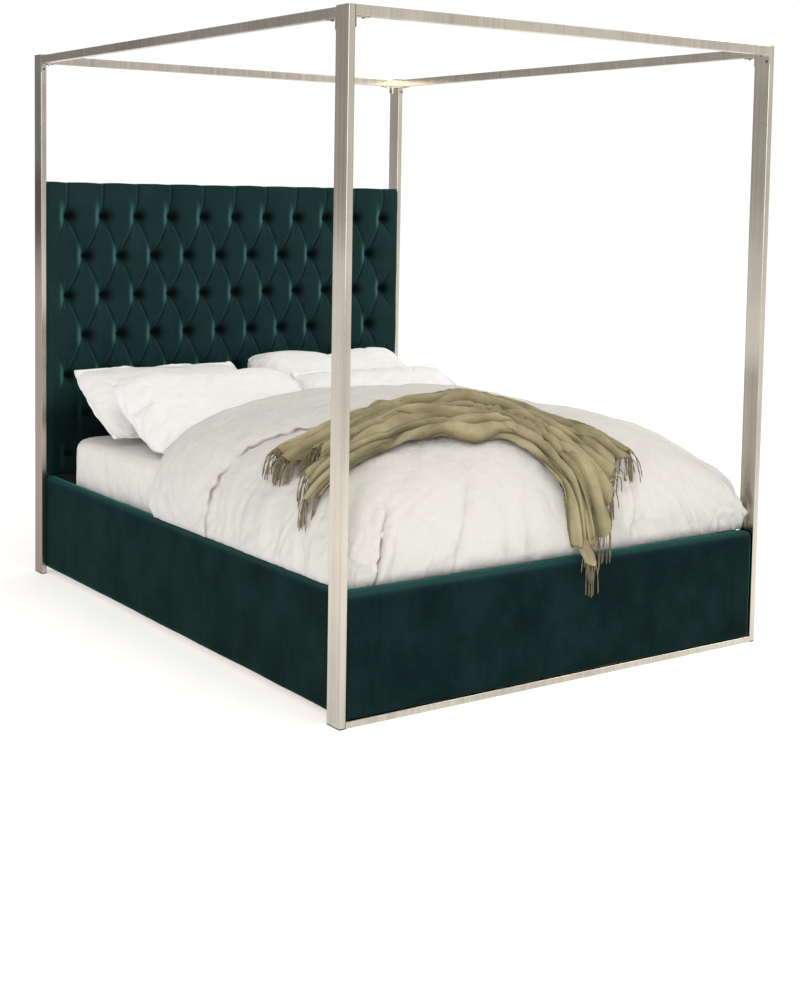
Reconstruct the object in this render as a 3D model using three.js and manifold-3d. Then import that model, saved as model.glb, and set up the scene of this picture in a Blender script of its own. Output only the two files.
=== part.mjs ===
// Canopy bed with a tufted headboard, made up with a mattress and bedding.
// Millimetres, +Z up, +X to the sleeper's left side when seen from the foot, -Y is the foot end.
// The origin lies on the floor under the middle of the bed.
import * as THREE from 'three';
import { mergeVertices } from 'three/addons/utils/BufferGeometryUtils.js';
import Module from 'manifold-3d';

const wasm = await Module();
wasm.setup();

// ---- Driving dimensions ----
const bedWidth = 1676; // over the outer faces of the posts
const bedLength = 2190; // over the outer faces of the posts
const bedHeight = 1998; // floor to the top of the posts
const gap = 0.3; // left between pieces that touch

// Corner posts: rectangular tube
const postWide = 22; // along X
const postDeep = 66; // along Y
const postWall = 1.5;
const postCorner = 2.5; // outer corner radius
const capThick = 2;
const plugDepth = 18; // of caps and glides inside the tube
const plugClearance = 0.4;
const glideTall = 3;

// Canopy frame
const canopyTall = 31;
const canopyDeep = 20;
const canopyWall = 1.5;
const sideCanopyDrop = 4; // the long rails sit this far below the post tops
const bracketReach = 48; // leg under the rail
const bracketDrop = 30; // leg down the post
const bracketThick = 3;

// Base
const padTop = 380; // top of the upholstered rails and footboard
const padBottom = 22; // their clearance over the floor
const innerWrapBottom = 300; // the cloth turned over the inside ends here
const trimTall = 20;
const trimDeep = 50;
const railCore = 24;
const railOuterPad = 12;
const railInnerPad = 9;
const footCore = 28;
const footOuterPad = 18;
const footInnerPad = 14;
const footSetback = 3; // footboard face behind the post face
const topPad = 16;
const padRound = 14; // rounding along the top edges

// Headboard
const headTop = 1518;
const headProud = 20; // pad face in front of the posts
const headPad = 45;
const headCore = 30;
const headPanel = 4;
const headRound = 16; // rounding of its front edges
const headCorner = 20; // of its upper corners, seen from the front

// Slats and their supports
const ledgeTall = 37;
const ledgeWide = 39;
const slatTop = 285;
const slatThick = 18;
const slatWide = 70;
const slatCount = 13;
const slatEndRoom = 8; // between a slat's end and the rail core
const strapWide = 30;
const strapThick = 1.5;
const beamWide = 50;
const beamTall = 70;
const hangerReach = 60;
const hangerThick = 3;
const legSide = 45;
const legBottom = 24;
const legSpacing = 680;
const footStemRadius = 5;
const footBoreRadius = 5.5;
const footDiscRadius = 19;
const footDiscTall = 8;
const footStemTop = 66;
const cornerBracketTall = 140;
const cornerBracketBottom = 60;
const cornerBracketLeg = 45; // past the end of the rail, and along the end board
const cornerBracketThick = 3;

// Mattress and bedding
const mattressThick = 252;
const mattressSideRoom = 9;
const mattressFootRoom = 6;
const mattressHeadRoom = 85;
const mattressCorner = 90;
const mattressEdge = 34;
const sheetThick = 1.6;
const sheetHem = 302;
const duvetSetIn = 11; // inside the rails' outer faces
const duvetFootSetIn = 42; // behind the footboard's face
const duvetHeadRoomSide = 889; // from the headboard to its head end, at the side ...
const duvetHeadRoomMiddle = 759; // ... and from the middle on
const duvetTop = 785;
const duvetRise = 550; // length over which it rises at the foot end
const duvetRoll = 130; // rounding of its head end
const duvetPower = 3; // squareness of its section
const duvetRoom = 2; // over the sheet and the rails
const pillowLong = 745;
const pillowDeep = 450;
const pillowThick = 130;
const pillowGap = 22; // from a back pillow's end to the middle of the bed
const frontPillowShift = 40; // across the bed
const rightPillowBack = 45; // the right front pillow lies this much nearer the headboard
const throwThick = 14;
const throwRoom = 8;
const throwHalfWide = 140;

// ---- Worked out ----
const halfWide = bedWidth / 2;
const halfLong = bedLength / 2;
const innerX = halfWide - postWide; // inner faces of the posts
const innerY = halfLong - postDeep;
const footFront = -halfLong + footSetback;
const footCoreFront = footFront + footOuterPad;
const footCoreBack = footCoreFront + footCore;
const footBack = footCoreBack + footInnerPad;
const headFront = innerY - headProud;
const headCoreFront = headFront + headPad;
const headCoreBack = headCoreFront + headCore;
const railCoreOuter = innerX - railOuterPad;
const railCoreInner = railCoreOuter - railCore;
const railInner = railCoreInner - railInnerPad;
const railFootEnd = footBack + gap;
const railHeadEnd = headCoreFront - gap;
const mattressBottom = slatTop + strapThick + gap;
const mattressTop = mattressBottom + mattressThick;
const mattressFoot = footBack + mattressFootRoom;
const mattressHead = headFront - mattressHeadRoom;
const mattressHalf = railInner - mattressSideRoom;
const ledgeTop = slatTop - slatThick - gap;

// ---- Finishes ----
const finish = (color, roughness, metalness) =>
  new THREE.MeshStandardMaterial({ color, roughness, metalness });
const chrome = () => finish(0xcfc4b4, 0.12, 1.0);
const zinc = () => finish(0xa7a59f, 0.35, 1.0);
const velvet = () => finish(0x12302f, 0.85, 0.0);
const board = () => finish(0xb99f75, 0.7, 0.0);
const pine = () => finish(0xd2b183, 0.65, 0.0);
const plastic = () => finish(0x2b2b2b, 0.5, 0.0);
const linen = () => finish(0xf0ebe2, 0.9, 0.0);
const wool = () => finish(0x857c55, 0.95, 0.0);
const lining = () => finish(0x1c2324, 0.95, 0.0);

const bed = new THREE.Group();

function add(name, geometry, material) {
  const mesh = new THREE.Mesh(geometry, material);
  mesh.name = name;
  bed.add(mesh);
  return mesh;
}

// ---- Shapes ----
function rectangle(x0, x1, y0, y1) {
  const shape = new THREE.Shape();
  shape.moveTo(x0, y0);
  shape.lineTo(x1, y0);
  shape.lineTo(x1, y1);
  shape.lineTo(x0, y1);
  shape.closePath();
  return shape;
}

function roundedOutline(path, x0, x1, y0, y1, r) {
  path.moveTo(x0 + r, y0);
  path.lineTo(x1 - r, y0);
  path.absarc(x1 - r, y0 + r, r, -Math.PI / 2, 0, false);
  path.lineTo(x1, y1 - r);
  path.absarc(x1 - r, y1 - r, r, 0, Math.PI / 2, false);
  path.lineTo(x0 + r, y1);
  path.absarc(x0 + r, y1 - r, r, Math.PI / 2, Math.PI, false);
  path.lineTo(x0, y0 + r);
  path.absarc(x0 + r, y0 + r, r, Math.PI, 1.5 * Math.PI, false);
  return path;
}

// A rounded rectangular tube section centred on the origin.
function tubeSection(width, height, wall, corner) {
  const [x, y] = [width / 2, height / 2];
  const shape = roundedOutline(new THREE.Shape(), -x, x, -y, y, corner);
  const inside = roundedOutline(new THREE.Path(), wall - x, x - wall, wall - y, y - wall, corner - wall);
  shape.holes.push(inside);
  return shape;
}

const alongX = new THREE.Matrix4().makeBasis(
  new THREE.Vector3(0, 1, 0), new THREE.Vector3(0, 0, 1), new THREE.Vector3(1, 0, 0));
const alongY = new THREE.Matrix4().makeBasis(
  new THREE.Vector3(1, 0, 0), new THREE.Vector3(0, 0, 1), new THREE.Vector3(0, -1, 0));

function extrude(shape, depth, curveSegments = 3) {
  return new THREE.ExtrudeGeometry(shape, { depth, curveSegments, bevelEnabled: false });
}

// A section drawn in X and Y, from z0 to z1.
function upright(shape, z0, z1, curveSegments) {
  return extrude(shape, z1 - z0, curveSegments).translate(0, 0, z0);
}

// A section drawn in Y and Z, from x0 to x1.
function crosswise(shape, x0, x1, curveSegments) {
  return extrude(shape, x1 - x0, curveSegments).applyMatrix4(alongX).translate(x0, 0, 0);
}

// A section drawn in X and Z, from y0 to y1.
function lengthwise(shape, y0, y1, curveSegments) {
  return extrude(shape, y1 - y0, curveSegments).applyMatrix4(alongY).translate(0, y1, 0);
}

function box(x0, x1, y0, y1, z0, z1) {
  const geometry = new THREE.BoxGeometry(x1 - x0, y1 - y0, z1 - z0);
  return geometry.translate((x0 + x1) / 2, (y0 + y1) / 2, (z0 + z1) / 2);
}

// A slab with rounded plan corners and rounded top and bottom edges.
function softSlab(halfX, y0, y1, z0, z1, corner, edge) {
  const shape = roundedOutline(new THREE.Shape(), -halfX, halfX, y0, y1, corner);
  const geometry = new THREE.ExtrudeGeometry(shape, {
    depth: z1 - z0 - 2 * edge, curveSegments: 4, bevelEnabled: true,
    bevelThickness: edge, bevelSize: edge, bevelOffset: -edge, bevelSegments: 3,
  });
  return geometry.translate(0, 0, z0 + edge);
}

// ---- Solids: cutting and joining ----
function toSolid(geometry) {
  const bare = geometry.clone();
  bare.deleteAttribute('normal');
  bare.deleteAttribute('uv');
  const merged = mergeVertices(bare, 1e-3);
  return new wasm.Manifold(new wasm.Mesh({
    numProp: 3,
    vertProperties: new Float32Array(merged.attributes.position.array),
    triVerts: new Uint32Array(merged.index.array),
  }));
}

function toGeometry(solid) {
  const mesh = solid.getMesh();
  const geometry = new THREE.BufferGeometry();
  geometry.setAttribute('position', new THREE.BufferAttribute(mesh.vertProperties, 3));
  geometry.setIndex(new THREE.BufferAttribute(mesh.triVerts, 1));
  geometry.computeVertexNormals();
  return geometry;
}

function cut(geometry, ...tools) {
  return toGeometry(tools.reduce((solid, tool) => solid.subtract(toSolid(tool)), toSolid(geometry)));
}

function join(...geometries) {
  return toGeometry(geometries.map(toSolid).reduce((a, b) => a.add(b)));
}

// ---- Posts, caps and glides ----
const ends = { foot: -1, head: 1 };
const sides = { left: -1, right: 1 };
const postX = halfWide - postWide / 2;
const postY = halfLong - postDeep / 2;
const plugWide = postWide - 2 * (postWall + plugClearance);
const plugDeep = postDeep - 2 * (postWall + plugClearance);

function plug(z0, z1) {
  const corner = postCorner - postWall;
  const outline = roundedOutline(
    new THREE.Shape(), -plugWide / 2, plugWide / 2, -plugDeep / 2, plugDeep / 2, corner);
  return upright(outline, z0, z1);
}

function plate(z0, z1) {
  const outline = roundedOutline(
    new THREE.Shape(), -postWide / 2, postWide / 2, -postDeep / 2, postDeep / 2, postCorner);
  return upright(outline, z0, z1);
}

for (const [end, alongLength] of Object.entries(ends)) {
  for (const [side, across] of Object.entries(sides)) {
    const place = (name, geometry, material) =>
      add(name, geometry, material).position.set(across * postX, alongLength * postY, 0);
    const bottom = glideTall + gap;
    const top = bedHeight - capThick - gap;
    const tube = tubeSection(postWide, postDeep, postWall, postCorner);
    place(`post_${end}_${side}`, upright(tube, bottom, top), chrome());
    place(`post_cap_${end}_${side}`,
      join(plate(bedHeight - capThick, bedHeight), plug(top - plugDepth, bedHeight - capThick / 2)),
      chrome());
    place(`post_glide_${end}_${side}`,
      join(plate(0, glideTall), plug(glideTall / 2, bottom + plugDepth)), plastic());
  }
}

// ---- Canopy frame: four tubes on angle brackets ----
const canopySection = () => tubeSection(canopyDeep, canopyTall, canopyWall, postCorner);
const crossZ = bedHeight - canopyTall / 2;
const longZ = crossZ - sideCanopyDrop;
const crossY = halfLong - canopyDeep / 2;
const longX = halfWide - canopyDeep / 2;

// An angle bracket's profile: one leg under the rail, one down the post, corner at the origin.
function angleProfile(reach, drop, thick, direction) {
  const shape = new THREE.Shape();
  const points = [[0, 0], [reach, 0], [reach, -thick], [thick, -thick], [thick, -drop], [0, -drop]];
  const placed = points.map(([a, b]) => [a * direction, b]);
  const ordered = direction > 0 ? placed.reverse() : placed;
  ordered.forEach(([a, b], i) => (i ? shape.lineTo(a, b) : shape.moveTo(a, b)));
  shape.closePath();
  return shape;
}

for (const [end, alongLength] of Object.entries(ends)) {
  const reach = innerX - gap;
  add(`canopy_rail_${end}`, crosswise(canopySection(), -reach, reach), chrome())
    .position.set(0, alongLength * crossY, crossZ);
  for (const [side, across] of Object.entries(sides)) {
    const profile = angleProfile(bracketReach, bracketDrop, bracketThick, -across);
    add(`canopy_bracket_${end}_${side}_cross`,
      lengthwise(profile, -canopyDeep / 2, canopyDeep / 2), chrome())
      .position.set(across * reach, alongLength * crossY, crossZ - canopyTall / 2 - gap);
  }
}

for (const [side, across] of Object.entries(sides)) {
  const reach = innerY - gap;
  add(`canopy_rail_${side}`, lengthwise(canopySection(), -reach, reach), chrome())
    .position.set(across * longX, 0, longZ);
  for (const [end, alongLength] of Object.entries(ends)) {
    const profile = angleProfile(bracketReach, bracketDrop, bracketThick, -alongLength);
    add(`canopy_bracket_${end}_${side}_long`,
      crosswise(profile, -canopyDeep / 2, canopyDeep / 2), chrome())
      .position.set(across * longX, alongLength * reach, longZ - canopyTall / 2 - gap);
  }
}

// ---- Upholstered boards: a core with padding folded over its top like a hook ----
// Drawn as across and up; the outer leg is at 0 and the inner leg at the full thickness.
function hookSection(outerPad, core, innerPad, outerBottom) {
  const thick = outerPad + core + innerPad;
  const shape = new THREE.Shape();
  shape.moveTo(0, outerBottom);
  shape.lineTo(outerPad - gap, outerBottom);
  shape.lineTo(outerPad - gap, padTop - topPad + gap);
  shape.lineTo(outerPad + core + gap, padTop - topPad + gap);
  shape.lineTo(outerPad + core + gap, innerWrapBottom);
  shape.lineTo(thick, innerWrapBottom);
  shape.lineTo(thick, padTop - padRound);
  shape.absarc(thick - padRound, padTop - padRound, padRound, 0, Math.PI / 2, false);
  shape.lineTo(padRound, padTop);
  shape.absarc(padRound, padTop - padRound, padRound, Math.PI / 2, Math.PI, false);
  shape.closePath();
  return shape;
}

const footReach = innerX - gap;
const footBottom = trimTall + gap;
add('footboard_trim', crosswise(
  tubeSection(trimDeep, trimTall, postWall, postCorner), -footReach, footReach), chrome())
  .position.set(0, -halfLong + trimDeep / 2, trimTall / 2);
add('footboard_core',
  box(-footReach, footReach, footCoreFront, footCoreBack, footBottom, padTop - topPad), board());
add('footboard_upholstery', crosswise(
  hookSection(footOuterPad, footCore, footInnerPad, footBottom), -footReach, footReach, 4), velvet())
  .position.set(0, footFront, 0);

// The right-hand section is the left-hand one turned half round, so both stay closed and facing out.
for (const [side, across] of Object.entries(sides)) {
  const railSpan = [railFootEnd, railHeadEnd].map((y) => y * -across).sort((a, b) => a - b);
  const upholstery = lengthwise(
    hookSection(railOuterPad, railCore, railInnerPad, padBottom), railSpan[0], railSpan[1], 4)
    .translate(gap - innerX, 0, 0);
  add(`side_rail_upholstery_${side}`, upholstery, velvet()).rotation.z = across > 0 ? Math.PI : 0;
  const [coreIn, coreOut] = [railCoreInner, railCoreOuter - gap].map((x) => x * across);
  add(`side_rail_core_${side}`, box(Math.min(coreIn, coreOut) + gap, Math.max(coreIn, coreOut),
    railFootEnd, railHeadEnd, padBottom + gap, padTop - topPad), board());
}

// ---- Headboard ----
const headReach = innerX - gap;
const padBase = padTop + 1;
const headOutline = roundedOutline(
  new THREE.Shape(), -headReach, headReach, padBase, headTop, headCorner);
const headPadDepth = headCoreBack - headFront;
const headBlock = new THREE.ExtrudeGeometry(headOutline, {
  depth: headPadDepth - headRound, curveSegments: 4, bevelEnabled: true,
  bevelThickness: headRound, bevelSize: headRound, bevelOffset: -headRound, bevelSegments: 3,
}).applyMatrix4(alongY).translate(0, headCoreBack, 0);
const coreReach = headReach - headRound;
const coreTop = headTop - headRound;
add('headboard_pad', cut(headBlock,
  box(-coreReach - gap, coreReach + gap, headCoreFront - gap, headCoreBack + bedLength,
    0, coreTop + gap),
  box(-bedWidth, bedWidth, headCoreBack, headCoreBack + bedLength, 0, bedHeight)), velvet());
add('headboard_core',
  box(-coreReach, coreReach, headCoreFront, headCoreBack, padBottom, coreTop), board());
add('headboard_back_panel', box(-headReach, headReach,
  headCoreBack + gap, headCoreBack + headPanel, padBottom, headTop - headRound), lining());

// ---- Brackets between the side rails and the end boards ----
// Seen from above: one leg on the rail core's inner face, one on the end board's bare core.
function railBracket(end, side) {
  const [alongLength, across] = [ends[end], sides[side]];
  const cornerX = across * (railCoreInner - gap);
  const cornerY = alongLength < 0 ? footCoreBack + gap : headCoreFront - gap;
  const railEnd = alongLength < 0 ? railFootEnd : railHeadEnd;
  const inward = -alongLength;
  const alongRail = Math.abs(railEnd - cornerY) + cornerBracketLeg;
  const railLeg = box(
    Math.min(cornerX, cornerX - across * cornerBracketThick),
    Math.max(cornerX, cornerX - across * cornerBracketThick),
    Math.min(cornerY, cornerY + inward * alongRail), Math.max(cornerY, cornerY + inward * alongRail),
    cornerBracketBottom, cornerBracketBottom + cornerBracketTall);
  const boardLeg = box(
    Math.min(cornerX, cornerX - across * cornerBracketLeg),
    Math.max(cornerX, cornerX - across * cornerBracketLeg),
    Math.min(cornerY, cornerY + inward * cornerBracketThick),
    Math.max(cornerY, cornerY + inward * cornerBracketThick),
    cornerBracketBottom, cornerBracketBottom + cornerBracketTall);
  add(`rail_bracket_${end}_${side}`, join(railLeg, boardLeg), zinc());
}
for (const end of Object.keys(ends)) for (const side of Object.keys(sides)) railBracket(end, side);

// ---- Slat ledges, centre beam and its hangers ----
const bayFoot = footCoreBack + gap;
const bayHead = headCoreFront - gap;
const bracketRoom = 15;
for (const [side, across] of Object.entries(sides)) {
  const outer = across * (railCoreInner - gap);
  const inner = across * (railCoreInner - gap - ledgeWide);
  add(`slat_ledge_${side}`, box(Math.min(outer, inner), Math.max(outer, inner),
    bayFoot + bracketRoom, bayHead - bracketRoom, ledgeTop - ledgeTall, ledgeTop), pine());
}

const beamBottom = ledgeTop - beamTall;
add('centre_beam',
  box(-beamWide / 2, beamWide / 2, bayFoot + hangerThick + gap, bayHead - hangerThick - gap,
    beamBottom, ledgeTop), pine());
for (const [end, alongLength] of Object.entries(ends)) {
  const profile = angleProfile(hangerReach, hangerThick + gap, hangerThick, -alongLength);
  const seat = crosswise(profile, -beamWide / 2, beamWide / 2);
  const face = alongLength < 0 ? bayFoot : bayHead;
  const plateY = [face, face - alongLength * hangerThick];
  const back = box(-beamWide / 2, beamWide / 2, Math.min(...plateY), Math.max(...plateY),
    beamBottom - hangerThick - gap, ledgeTop);
  add(`beam_hanger_${end}`, join(seat.translate(0, face, beamBottom - gap), back), zinc());
}

// ---- Centre legs with levelling feet ----
const legPlaces = { foot: -legSpacing, middle: 0, head: legSpacing };
for (const [place, y] of Object.entries(legPlaces)) {
  const section = rectangle(-legSide / 2, legSide / 2, -legSide / 2, legSide / 2);
  section.holes.push(new THREE.Path().absarc(0, 0, footBoreRadius, 0, 2 * Math.PI, true));
  add(`centre_leg_${place}`, upright(section, legBottom, beamBottom - gap, 16), pine())
    .position.set(0, y, 0);
  const profile = [[0, 0], [footDiscRadius - 2, 0], [footDiscRadius, 2],
    [footDiscRadius, footDiscTall - 3], [footStemRadius + 3, footDiscTall],
    [footStemRadius, footDiscTall], [footStemRadius, footStemTop], [0, footStemTop]];
  const foot = new THREE.LatheGeometry(profile.map(([r, z]) => new THREE.Vector2(r, z)), 16);
  add(`levelling_foot_${place}`, foot.rotateX(Math.PI / 2), plastic()).position.set(0, y, 0);
}

// ---- Slats, stapled to two straps ----
const slatReach = railCoreInner - slatEndRoom;
const slatFirst = bayFoot + slatWide;
const slatLast = bayHead - slatWide;
const slatPitch = (slatLast - slatFirst) / (slatCount - 1);
const slatPieces = [];
for (let i = 0; i < slatCount; i++) {
  const y = slatFirst + i * slatPitch;
  slatPieces.push(box(
    -slatReach, slatReach, y - slatWide / 2, y + slatWide / 2, slatTop - slatThick, slatTop));
}
for (const across of Object.values(sides)) {
  const x = across * slatReach / 2;
  slatPieces.push(box(x - strapWide / 2, x + strapWide / 2, slatFirst, slatLast,
    slatTop - strapThick / 2, slatTop + strapThick));
}
add('slat_roll', join(...slatPieces), pine());

// ---- Mattress and fitted sheet ----
add('mattress', softSlab(mattressHalf, mattressFoot, mattressHead, mattressBottom, mattressTop,
  mattressCorner, mattressEdge), linen());
const sheetOut = sheetThick + gap;
add('fitted_sheet', cut(
  softSlab(mattressHalf + sheetOut, mattressFoot - sheetOut, mattressHead + sheetOut,
    mattressBottom - mattressEdge, mattressTop + sheetOut,
    mattressCorner + sheetOut, mattressEdge + sheetOut),
  softSlab(mattressHalf + gap, mattressFoot - gap, mattressHead + gap,
    mattressBottom - mattressThick / 2, mattressTop + gap,
    mattressCorner + gap, mattressEdge + gap),
  box(-bedWidth, bedWidth, -bedLength, bedLength, 0, sheetHem)), linen());

// ---- Duvet: a rounded dome over the mattress, resting on the rails ----
const duvetBase = padTop + duvetRoom;
const superRound = (t) => Math.max(0, 1 - Math.abs(t) ** duvetPower) ** (1 / duvetPower);
const both = (a, b) => (a * b > 0 ? a * b / (a + b - a * b) : 0); // full at the corners
const duvetHalf = innerX - duvetSetIn;
const duvetFoot = footFront + duvetFootSetIn;
const duvetHeadEnd = (x) => headFront - duvetHeadRoomMiddle
  + (duvetHeadRoomSide - duvetHeadRoomMiddle) * Math.min(0, x) / duvetHalf;

function duvetHeight(x, y) {
  const foot = Math.min(1, Math.max(0, (duvetFoot + duvetRise - y) / duvetRise));
  const head = Math.min(1, Math.max(0, (y - duvetHeadEnd(x) + duvetRoll) / duvetRoll));
  const rise = both(superRound(x / duvetHalf), both(superRound(foot), superRound(head)));
  return duvetBase + (duvetTop - duvetBase) * rise;
}

// Even steps round the superellipse keep the steep sides well covered.
const easeRound = (t) => Math.sign(t) * Math.abs(Math.sin(t * Math.PI / 2)) ** (2 / duvetPower);

function surface(columns, rows, point) {
  const [position, index] = [[], []];
  for (let i = 0; i <= columns; i++) {
    for (let j = 0; j <= rows; j++) position.push(...point(i / columns, j / rows));
  }
  for (let i = 0; i < columns; i++) {
    for (let j = 0; j < rows; j++) {
      const a = i * (rows + 1) + j;
      const b = a + rows + 1;
      index.push(a, b, b + 1, a, b + 1, a + 1);
    }
  }
  return { position, index };
}

// A closed body between an upper and a lower surface over the same grid.
function between(columns, rows, upper, lower) {
  const [top, bottom] = [surface(columns, rows, upper), surface(columns, rows, lower)];
  const count = top.position.length / 3;
  const index = [...top.index];
  for (let i = 0; i < bottom.index.length; i += 3) {
    const [a, b, c] = bottom.index.slice(i, i + 3);
    index.push(a + count, c + count, b + count);
  }
  const at = (i, j) => i * (rows + 1) + j;
  const wall = (a, b) => index.push(a, a + count, b + count, a, b + count, b);
  for (let i = 0; i < columns; i++) {
    wall(at(i, 0), at(i + 1, 0));
    wall(at(i + 1, rows), at(i, rows));
  }
  for (let j = 0; j < rows; j++) {
    wall(at(0, j + 1), at(0, j));
    wall(at(columns, j), at(columns, j + 1));
  }
  const geometry = new THREE.BufferGeometry();
  const position = new Float32Array([...top.position, ...bottom.position]);
  geometry.setAttribute('position', new THREE.BufferAttribute(position, 3));
  geometry.setIndex(index);
  geometry.computeVertexNormals();
  return geometry;
}

function duvetPlan(u, v) {
  const x = duvetHalf * easeRound(2 * u - 1);
  const y = duvetFoot + (duvetHeadEnd(x) - duvetFoot) * (1 + easeRound(2 * v - 1)) / 2;
  return [x, y];
}

const duvetSkirt = 1; // a low rim, so the edge is never a knife edge
const duvetDome = between(20, 18, (u, v) => {
  const [x, y] = duvetPlan(u, v);
  return [x, y, duvetHeight(x, y) + duvetSkirt];
}, (u, v) => [...duvetPlan(u, v), duvetBase]);
const sheetEdge = mattressHalf + sheetOut + duvetRoom;
add('duvet', cut(duvetDome, box(-sheetEdge, sheetEdge, mattressFoot - sheetOut - duvetRoom,
  bedLength, 0, mattressTop + sheetOut + duvetRoom)), linen());

// ---- Pillows: crowned in the middle, thin at the seams ----
function pillow(name, x, y, z, tilt) {
  const edge = 8; // thickness at the seam
  const crown = (u, v) => {
    const round = (1 - u ** 4) * (1 - v ** 4);
    return edge / 2 + (pillowThick - edge) / 2 * Math.sqrt(round);
  };
  const plan = (u, v) => [pillowLong / 2 * (u - 0.05 * u * (1 - v * v)),
    pillowDeep / 2 * (v - 0.07 * v * (1 - u * u))];
  const at = (s) => Math.sin((s - 0.5) * Math.PI);
  const body = between(10, 8,
    (s, t) => [...plan(at(s), at(t)), crown(at(s), at(t))],
    (s, t) => [...plan(at(s), at(t)), -crown(at(s), at(t))]);
  const mesh = add(name, body, linen());
  mesh.rotation.x = tilt * Math.PI / 180;
  mesh.position.set(x, y, z);
}

const pillowSpacing = pillowLong / 2 + pillowGap;
const backPillow = { y: headFront - 209, z: mattressTop + 143, tilt: 31 };
const frontPillow = { y: headFront - 544, z: mattressTop + 134, tilt: 27 };
for (const [side, across] of Object.entries(sides)) {
  const x = across * pillowSpacing;
  const drift = across > 0 ? rightPillowBack : 0;
  pillow(`pillow_back_${side}`, x, backPillow.y, backPillow.z, backPillow.tilt);
  pillow(`pillow_front_${side}`, x + frontPillowShift, frontPillow.y + drift, frontPillow.z,
    frontPillow.tilt);
}

// ---- Throw: a gathered cloth laid over the duvet ----
// Its middle line, as distances from the bed's middle and from the duvet's foot end.
const throwPath = new THREE.CatmullRomCurve3([
  [-735, 410], [-560, 400], [-340, 420], [-110, 450], [70, 400], [190, 260], [240, 90],
].map(([x, fromFoot]) => new THREE.Vector3(x, duvetFoot + fromFoot, 0)));

function onDuvet(x, y, lift) {
  const step = 1;
  const slopeX = (duvetHeight(x + step, y) - duvetHeight(x - step, y)) / (2 * step);
  const slopeY = (duvetHeight(x, y + step) - duvetHeight(x, y - step)) / (2 * step);
  const normal = new THREE.Vector3(-slopeX, -slopeY, 1).normalize();
  return [x + normal.x * lift, y + normal.y * lift,
    duvetHeight(x, y) + duvetSkirt + normal.z * lift];
}

function throwPoint(along, over, lift) {
  const centre = throwPath.getPointAt(along);
  const heading = throwPath.getTangentAt(along);
  const offset = (2 * over - 1) * throwHalfWide;
  return onDuvet(centre.x + heading.y * offset, centre.y - heading.x * offset, lift);
}

add('throw', between(7, 18,
  (over, along) => throwPoint(along, over, throwRoom + throwThick),
  (over, along) => throwPoint(along, over, throwRoom)), wool());

export default bed;
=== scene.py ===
import math

import bpy
import numpy as np
from mathutils import Matrix, Vector


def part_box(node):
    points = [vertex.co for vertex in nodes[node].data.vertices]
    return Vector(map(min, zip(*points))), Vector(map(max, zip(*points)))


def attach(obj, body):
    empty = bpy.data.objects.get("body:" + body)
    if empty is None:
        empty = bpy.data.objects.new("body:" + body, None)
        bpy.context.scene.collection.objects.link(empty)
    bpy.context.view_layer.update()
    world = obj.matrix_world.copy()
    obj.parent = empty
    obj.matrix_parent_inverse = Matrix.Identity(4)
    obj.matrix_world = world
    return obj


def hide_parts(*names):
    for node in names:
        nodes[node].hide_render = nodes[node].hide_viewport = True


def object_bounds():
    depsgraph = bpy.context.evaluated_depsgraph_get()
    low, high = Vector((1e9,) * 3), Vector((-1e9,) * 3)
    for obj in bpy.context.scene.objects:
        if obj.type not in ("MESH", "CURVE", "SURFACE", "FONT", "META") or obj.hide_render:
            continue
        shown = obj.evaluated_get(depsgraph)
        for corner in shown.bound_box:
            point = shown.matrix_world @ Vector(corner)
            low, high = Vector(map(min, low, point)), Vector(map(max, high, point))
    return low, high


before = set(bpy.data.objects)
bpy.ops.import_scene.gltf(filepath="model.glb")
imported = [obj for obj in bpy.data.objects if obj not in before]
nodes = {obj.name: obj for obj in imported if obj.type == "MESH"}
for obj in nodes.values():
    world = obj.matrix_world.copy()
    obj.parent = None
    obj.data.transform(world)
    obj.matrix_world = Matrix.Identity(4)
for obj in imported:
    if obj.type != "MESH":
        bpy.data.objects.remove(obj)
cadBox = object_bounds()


camera = {
    "place": (-3.170, -4.663, 1.481),
    "turn": 35.19,  # degrees from +Y towards +X
    "pitch": -4.47,
    "roll": 0.96,
    "lens": 56.5,
    "shift": -0.18,
}


def makeCamera():
    bpy.ops.object.camera_add(location=camera["place"])
    made = bpy.context.object
    made.name = "camera"
    turn, pitch, roll = (math.radians(camera[k]) for k in ("turn", "pitch", "roll"))
    ahead = Vector((math.sin(turn) * math.cos(pitch), math.cos(turn) * math.cos(pitch), math.sin(pitch)))
    level = Vector((math.cos(turn), -math.sin(turn), 0))
    above = level.cross(ahead)
    right = level * math.cos(roll) + above * math.sin(roll)
    up = above * math.cos(roll) - level * math.sin(roll)
    made.rotation_mode = "QUATERNION"
    made.rotation_quaternion = Matrix((right, up, -ahead)).transposed().to_quaternion()
    made.data.lens = camera["lens"]
    made.data.sensor_width = 36
    made.data.shift_y = camera["shift"]
    made.data.clip_end = 200
    bpy.context.scene.camera = made


studio = {
    "sky": (1.0, 0.978, 0.94),
    "backdrop": (1.03, 1.03, 1.03),
    "skyTop": 0.88,  # light from above
    "skySide": 0.63,  # light from the sides
    "farShade": 0.60,  # level straight behind the headboard
    "skyBehind": 0.40,  # how much darker it is beyond the headboard
    "key": 66,
    "fill": 78,
    "floorGlow": 0.41,  # lets the floor run into the backdrop
}


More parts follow.
